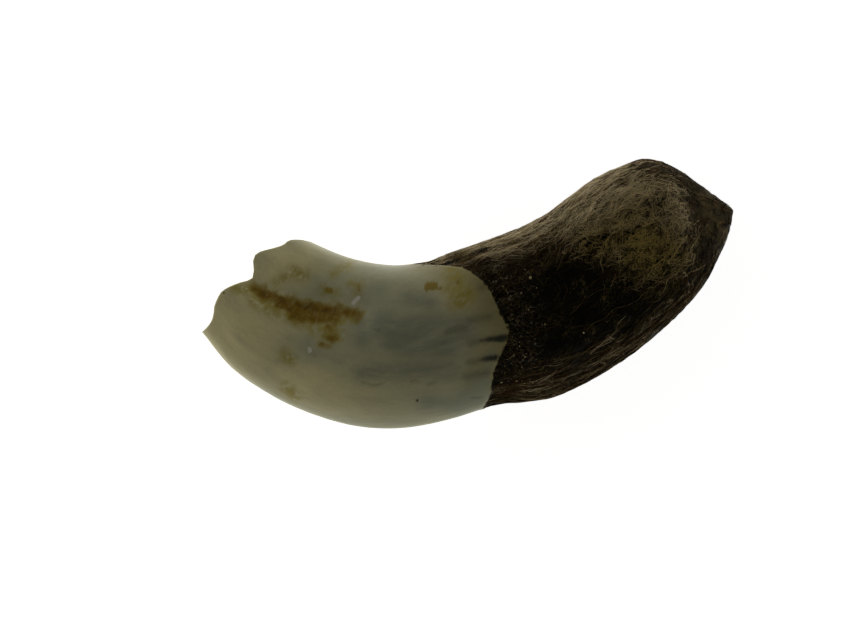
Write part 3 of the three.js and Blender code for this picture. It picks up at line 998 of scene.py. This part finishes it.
def kind_of_fibre(name, seed, weight, length, spread, wave, wave_size, lift, radius, pale_gain=1.0):
    """One mesh with all fibres of one kind. length, lift and radius: mm, smallest and largest."""
    rng = np.random.default_rng(seed)
    weight = weight * ease(face_rootward, 0.1, 0.25)
    line, beside, start_face = creep(rng, FIBRES_PER_KIND, weight, length, spread, wave, wave_size, lift)
    return tubes(name, line, beside, rng.uniform(*radius, len(line)), tone_of(rng, start_face, pale_gain))


# %% Combed and fine fibres, along the margins
hollow, lower, mat = face_regions["hollow"], face_regions["lower"], face_regions["mat"]
combed = kind_of_fibre(
    "root_combed_fibres", 11,
    thinned(0.10 + 1.7 * hollow + 1.5 * lower + 0.3 * mat, bare=0.8, end=0.55, rim=0.8),
    length=(0.9, 2.8), spread=10 - 3 * lower + 14 * mat,
    wave=28 - 14 * lower + 30 * mat, wave_size=(0.6, 0.4, 0.4), lift=(0.004, 0.035), radius=(0.011, 0.022))
fine = kind_of_fibre(
    "root_fine_fibres", 17,
    thinned(0.4 + 1.2 * hollow + 0.7 * lower + 0.2 * mat, bare=0.7, end=0.2, rim=0.8),
    length=(0.4, 1.3), spread=18 - 6 * lower + 20 * mat,
    wave=36 - 16 * lower + 50 * mat, wave_size=(0.5, 0.3, 0.3), lift=(0.004, 0.03), radius=(0.011, 0.022))

# %% Curled and felted fibres, everywhere else
curled = kind_of_fibre(
    "root_curled_fibres", 23,
    thinned(0.4 + 1.9 * mat + 0.7 * face_regions["neckzone"], bare=0.7, end=0.7, hollow=0.55, lower=0.75,
            rim=0.8),
    length=(0.35, 0.95), spread=40 * everywhere,
    wave=190 * everywhere, wave_size=(0.33, 0.26, 0.26), lift=(0.008, 0.05), radius=(0.009, 0.018),
    pale_gain=0.9)
felted = kind_of_fibre(
    "root_felt_fibres", 37,
    thinned(0.8 + 0.9 * mat, bare=0.5, end=0.5, hollow=0.3, lower=0.5, rim=0.8),
    length=(0.25, 0.9), spread=60 * everywhere,
    wave=120 * everywhere, wave_size=(0.3, 0.25, 0.25), lift=(0.004, 0.03), radius=(0.009, 0.019),
    pale_gain=0.8)
fibres = [combed, fine, curled, felted]

# %% [markdown]
# ## A few long hairs, laid one by one
# Some pale hairs are long enough to be counted. They rise out of the dark patch and run along the lower
# margin. Each is a smooth line in the plan, dropped on to the surface from above.

# %% Where the long hairs run, in the plan
LONG_HAIRS = [
    [(21.3, -4.6), (22.3, -4.6), (23.0, -4.45), (23.7, -4.1), (24.6, -3.95), (25.4, -3.75), (26.3, -3.2),
     (26.9, -2.9)],
    [(22.8, -5.5), (23.5, -5.3), (24.2, -5.0), (24.6, -4.6)],
    [(23.3, -5.45), (24.0, -5.2), (24.7, -4.9)],
    [(24.5, -5.6), (25.4, -5.15), (26.1, -4.75), (27.0, -4.3), (27.6, -3.85)],
    [(20.7, -1.6), (20.85, -2.0), (21.2, -2.3)],
    [(22.4, -2.5), (22.8, -2.35), (22.95, -2.1)],
    [(21.3, -1.9), (21.35, -2.5), (20.9, -3.1)],
    [(23.8, -2.3), (24.6, -2.3), (25.2, -1.95), (25.6, -2.0)],
    [(18.3, -7.7), (19.4, -7.6), (20.9, -7.4), (22.4, -7.1), (23.9, -6.5), (24.9, -6.05)],
    [(18.9, -7.65), (20.3, -7.65), (21.8, -7.3), (23.3, -6.85)],
    [(19.0, -7.2), (20.2, -7.0), (21.5, -6.75), (22.6, -6.6)],
    [(25.3, -6.1), (25.9, -5.5), (26.9, -4.9), (27.9, -4.0), (28.6, -3.5)],
    [(25.0, -4.9), (25.8, -4.4), (26.8, -3.7), (27.5, -2.9), (28.0, -2.2)],
    [(20.0, -6.3), (21.2, -6.15), (22.3, -5.8), (23.0, -5.75)],
    [(22.9, -6.4), (23.9, -5.9), (24.8, -5.4), (25.6, -4.7)],
]

# %% Drop the long hairs on the surface
HAIR_RADIUS = 0.011  # mm
HAIR_HEIGHT = 0.035 * MM
HAIR_ROWS = 25
WOBBLE = 0.12  # mm
WOBBLES_PER_MM = 1.9
ABOVE = 0.05  # m, higher than the tooth


def dropped(x, y):
    """Where a straight fall from above on to the root ends: the place and the normal there."""
    spot = (np.array([x, y]) - PLAN_ORIGIN) * MM
    place, normal, _, _ = surface_tree.ray_cast(Vector((*spot, ABOVE)), Vector((0, 0, -1)))
    return place, normal


lines, normals_beside = [], []
for hair in LONG_HAIRS:
    path = smooth_line(hair)
    at = np.linspace(0, len(path) - 1, HAIR_ROWS)
    path = np.column_stack([np.interp(at, np.arange(len(path)), path[:, k]) for k in (0, 1)])
    wobble = [[noise.noise(Vector((*point * WOBBLES_PER_MM, z))) for z in (3.0, 8.0)] for point in path]
    hits = [dropped(x, y) for x, y in path + WOBBLE * np.array(wobble)]
    lines.append([tuple(place + normal * HAIR_HEIGHT) for place, normal in hits])
    normals_beside.append([tuple(normal) for _, normal in hits])
rng = np.random.default_rng(5)
count = len(LONG_HAIRS)
hair_tone = np.column_stack([rng.uniform(0.30, 0.55, count), rng.uniform(0, 0.5, count), rng.random(count)])
hair_radius = rng.uniform(0.7, 1.2, count) * HAIR_RADIUS
fibres.append(tubes("root_long_hairs", np.array(lines), np.array(normals_beside), hair_radius, hair_tone))

# %% [markdown]
# ## Crumbs of dried tissue
# Close to the neck some grains stand out and glint. They are tiny lumps of dried gum and dirt, a
# twentieth of a millimetre across. One small ball is made, and copies of it are scattered and squashed.
# All of them go into one mesh.

# %% Where the crumbs lie
CRUMB_COUNT = 110
CRUMB_RADII = (0.016, 0.042)  # mm
CRUMB_MIDDLE = 18.35  # where the belt of crumbs crosses the widest part of the neck, in the plan
CRUMB_SPREAD = 0.75
CRUMB_OFF_NECK = 0.25  # mm; crumbs closer to the enamel are left out
BIG_CRUMBS = [  # x and y in the plan, radius in mm
    (19.64, -4.03, 0.065), (21.7, -5.0, 0.06), (19.42, -1.22, 0.09), (17.3, -6.85, 0.06),
    (16.45, -6.75, 0.07), (18.7, -1.95, 0.055), (18.9, -3.0, 0.06), (18.99, -6.45, 0.055),
    (17.9, -1.6, 0.05), (18.1, -5.6, 0.05),
]

rng = np.random.default_rng(71)
crumbs_y = rng.uniform(-7.2, -0.6, CRUMB_COUNT)
crumbs_x = CRUMB_MIDDLE - 0.12 * (crumbs_y + 3.8) ** 2 + rng.normal(0, CRUMB_SPREAD, CRUMB_COUNT)
crumbs = list(zip(crumbs_x, crumbs_y, rng.uniform(*CRUMB_RADII, CRUMB_COUNT))) + BIG_CRUMBS

# %% Scatter copies of one small ball
SUNK = 0.4  # how high a crumb's middle lies, as a share of its radius

bm = bmesh.new()
bmesh.ops.create_icosphere(bm, subdivisions=1, radius=MM)
ball = np.array([v.co for v in bm.verts])
ball_faces = np.array([[v.index for v in face.verts] for face in bm.faces])
bm.free()
crumb_vertices, crumb_faces, crumb_tones = [], [], []
for x, y, radius in crumbs:
    place, normal = dropped(x, y)
    crumb_station, crumb_share = section_of(np.array([[x, y]]))
    if place is None or past_neck(crumb_station, crumb_share, 1)[0] < CRUMB_OFF_NECK:
        continue
    squash = rng.uniform(0.6, 1.3, 3) * radius
    crumb_faces.append(ball_faces + len(ball) * len(crumb_vertices))
    crumb_vertices.append(ball * squash + np.array(place) + np.array(normal) * radius * SUNK * MM)
    crumb_tones.append((rng.uniform(0.45, 1.1), rng.uniform(0, 0.4), rng.random()))
crumb_mesh = bpy.data.meshes.new("root_crumbs")
crumb_mesh.from_pydata(np.vstack(crumb_vertices).tolist(), [], np.vstack(crumb_faces).tolist())
store(crumb_mesh, "tone", np.repeat(crumb_tones, len(ball), axis=0))
fibres.append(add_piece("root_crumbs", crumb_mesh))
print("crumbs:", len(crumb_vertices))

# %% Fibre finish
FIBRE_DARK = (0.009, 0.0065, 0.0024, 1)
FIBRE_BROWN = (0.118, 0.082, 0.027, 1)
FIBRE_RUSTY = (0.135, 0.068, 0.020, 1)
FIBRE_PALE = (0.72, 0.585, 0.35, 1)
FIBRE_OLIVE = (0.56, 0.41, 0.12, 1)

fibre_finish, tree, shader = new_material("fibre_finish")
pale, olive, rust = parts(stored(tree, "tone", "Vector"))
brown_fibre = lay(FIBRE_BROWN, FIBRE_RUSTY, mask(rust, 0.3, 0.9))
fibre_colour = lay(FIBRE_DARK, brown_fibre, mask(pale, 0.0, 0.45))
fibre_colour = lay(fibre_colour, FIBRE_PALE, mask(pale, 0.4, 1.0))
olive_fibre = lay(FIBRE_DARK, FIBRE_OLIVE, mask(pale, 0.05, 0.8))
wire(lay(fibre_colour, olive_fibre, olive), shader.inputs["Base Color"])
shader.inputs["Roughness"].default_value = 0.55
shader.inputs["Specular IOR Level"].default_value = 0.07
for piece in fibres:
    piece.data.materials.append(fibre_finish)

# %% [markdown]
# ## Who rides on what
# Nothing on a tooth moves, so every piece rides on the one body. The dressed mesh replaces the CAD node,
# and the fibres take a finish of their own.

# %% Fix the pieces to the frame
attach(body, "root")
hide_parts("tooth")
for piece in fibres:
    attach(piece, "root")

# %% [markdown]
# ## Floor and light
# The tooth lies on a white ground that glows a little, as a light table does, so only a faint shadow
# is left. The light comes from the ground and from low all round, and little comes from straight
# above. That is why the outline of the tooth is bright and its middle dark.

# %% Floor
FLOOR_HALF = 0.6  # m
FLOOR_GLOW = 0.92

bm = bmesh.new()
bmesh.ops.create_grid(bm, x_segments=1, y_segments=1, size=FLOOR_HALF)
floor_mesh = bpy.data.meshes.new("floor")
bm.to_mesh(floor_mesh)
bm.free()
floor = add_piece("floor", floor_mesh)
floor_finish, tree, shader = new_material("floor_finish")
shader.inputs["Base Color"].default_value = (0.8, 0.8, 0.8, 1)
shader.inputs["Roughness"].default_value = 0.9
shader.inputs["Emission Color"].default_value = (1, 1, 1, 1)
shader.inputs["Emission Strength"].default_value = FLOOR_GLOW
floor.data.materials.append(floor_finish)

# %% Sky of soft light, bright at the sides and dim above
SIDE_LIGHT, TOP_LIGHT = 0.38, 0.03
DIM_FROM = 0.85  # the height on a sky of radius 1 above which it is dim

world = bpy.data.worlds.new("soft_surround")
bpy.context.scene.world = world
world.use_nodes = True
tree = world.node_tree
background = tree.nodes["Background"]
place = tree.nodes.new("ShaderNodeTexCoord")
_, _, upward = parts(place.outputs["Generated"])
fall = tree.nodes.new("ShaderNodeMapRange")
fall.inputs["From Min"].default_value = 0.0
fall.inputs["From Max"].default_value = DIM_FROM
fall.inputs["To Min"].default_value = SIDE_LIGHT
fall.inputs["To Max"].default_value = TOP_LIGHT
wire(upward, fall.inputs["Value"])
wire(fall.outputs["Result"], background.inputs["Strength"])
background.inputs["Color"].default_value = (1, 1, 1, 1)

# %% A large soft lamp from the hollow side
LAMP_PLACE = (-0.2, 0.2, 0.2)  # m
LAMP_SIZE = 0.25
LAMP_POWER = 0.05  # W

lamp_data = bpy.data.lights.new("soft_key", "AREA")
lamp_data.shape = "DISK"
lamp_data.size = LAMP_SIZE
lamp_data.energy = LAMP_POWER
lamp = add_piece("soft_key", lamp_data)
lamp.location = LAMP_PLACE
lamp.rotation_euler = (-lamp.location).to_track_quat("-Z", "Y").to_euler()

# %% [markdown]
# ## Camera
# The photograph looks straight down, with the tooth turned a little in the frame. A long lens from a
# quarter of a metre keeps the perspective flat, as a close-up lens would.

# %% Camera
FRAME_WIDTH = 49.87 * MM  # what the picture's width covers at the height of the outline
OUTLINE_HEIGHT = 3.0 * MM
CAMERA_DISTANCE = 0.25
PICTURE_CENTRE = (-3.05 * MM, -0.07 * MM)
PICTURE_TURN = -12.94
camera_data = bpy.data.cameras.new("camera")
camera_data.sensor_width = 36
camera_data.sensor_fit = "HORIZONTAL"
camera_data.lens = camera_data.sensor_width * CAMERA_DISTANCE / FRAME_WIDTH
camera_data.clip_start = 0.01
camera_data.clip_end = 10
camera = add_piece("camera", camera_data)
camera.location = (*PICTURE_CENTRE, OUTLINE_HEIGHT + CAMERA_DISTANCE)
camera.rotation_euler = (0, 0, math.radians(PICTURE_TURN))
bpy.context.scene.camera = camera
bpy.context.scene.view_settings.view_transform = "Standard"
bpy.context.scene.view_settings.look = "None"
